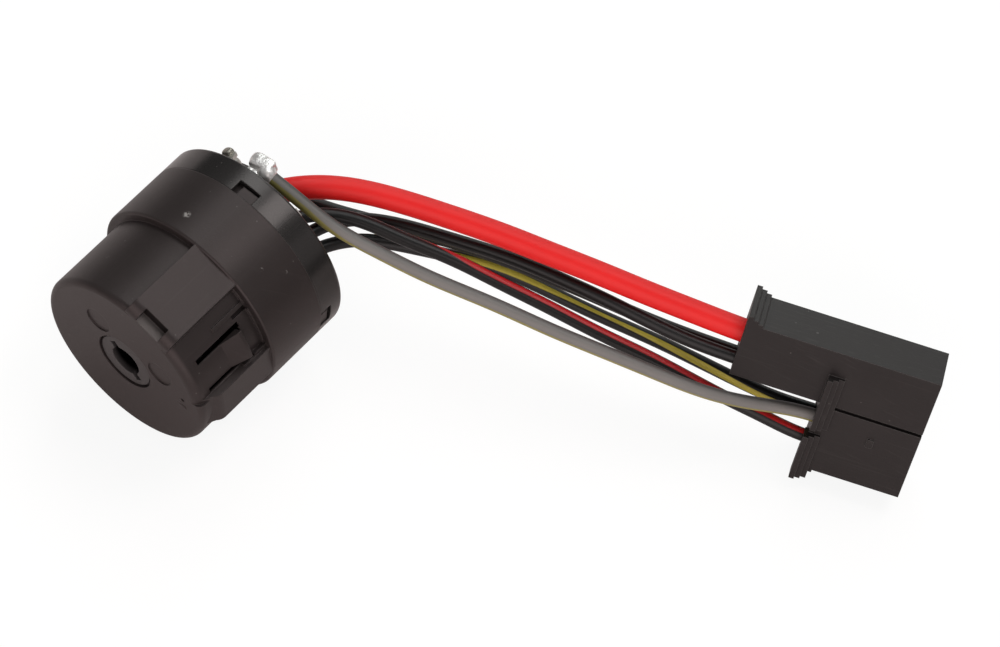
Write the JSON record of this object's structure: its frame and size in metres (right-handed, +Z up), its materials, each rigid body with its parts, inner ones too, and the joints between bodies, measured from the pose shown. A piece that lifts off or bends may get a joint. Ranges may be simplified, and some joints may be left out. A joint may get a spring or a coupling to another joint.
{
  "type": "ignition switch",
  "caption": "Round ignition switch with a turning drive socket, a snap-latch arm on its side and soldered leads that run to a stepped plug.",
  "frame": {"origin": "on the rotor axis, at the mouth of the drive socket", "axes": "+Y along the rotor axis from the drive end to the leads, +Z up as the part lies, +X to the right seen from the drive end"},
  "size_m": [0.1353, 0.099, 0.04],
  "materials": {
    "housing_plastic": "fine moulded matt black",
    "cap_plastic": "smooth satin black",
    "rotor_plastic": "smooth dark grey",
    "spring_steel": "drawn spring steel",
    "contact_brass": "stamped brass",
    "tinned_tag": "tinned, with dull solder",
    "red_lead": "satin insulation",
    "grey_lead": "satin insulation with a thin yellow-green stripe",
    "black_lead": "satin insulation",
    "black_red_lead": "satin insulation with a red stripe",
    "black_yellow_lead": "satin insulation with a yellow stripe",
    "plug_plastic": "satin black"
  },
  "bodies": {
    "switch": {"front_housing": "housing_plastic", "rear_cap": "cap_plastic", "detent_spring": "spring_steel", "return_spring": "spring_steel", "terminal_red": "tinned_tag", "terminal_black_a": "tinned_tag", "terminal_black_b": "tinned_tag", "terminal_black_red": "tinned_tag", "terminal_black_yellow": "tinned_tag", "terminal_grey": "tinned_tag", "wire_red": "red_lead", "wire_black_a": "black_lead", "wire_black_b": "black_lead", "wire_black_red": "black_red_lead", "wire_black_yellow": "black_yellow_lead", "wire_grey": "grey_lead", "plug_housing": "plug_plastic", "plug_contact_red": "contact_brass", "plug_contact_black_a": "contact_brass", "plug_contact_black_b": "contact_brass", "plug_contact_black_red": "contact_brass", "plug_contact_black_yellow": "contact_brass", "plug_contact_grey": "contact_brass"},
    "rotor": {"rotor": "rotor_plastic", "contact_bridge": "contact_brass", "contact_spring_1": "spring_steel", "contact_spring_2": "spring_steel", "contact_spring_3": "spring_steel"}
  },
  "joints": [
    {"name": "rotor_turn", "type": "hinge", "parent": "switch", "child": "rotor", "pos_m": [0, 0, 0], "axis": [0, 1, 0], "range_deg": [0, 110], "deforming": ["detent_spring", "return_spring"]}
  ]
}
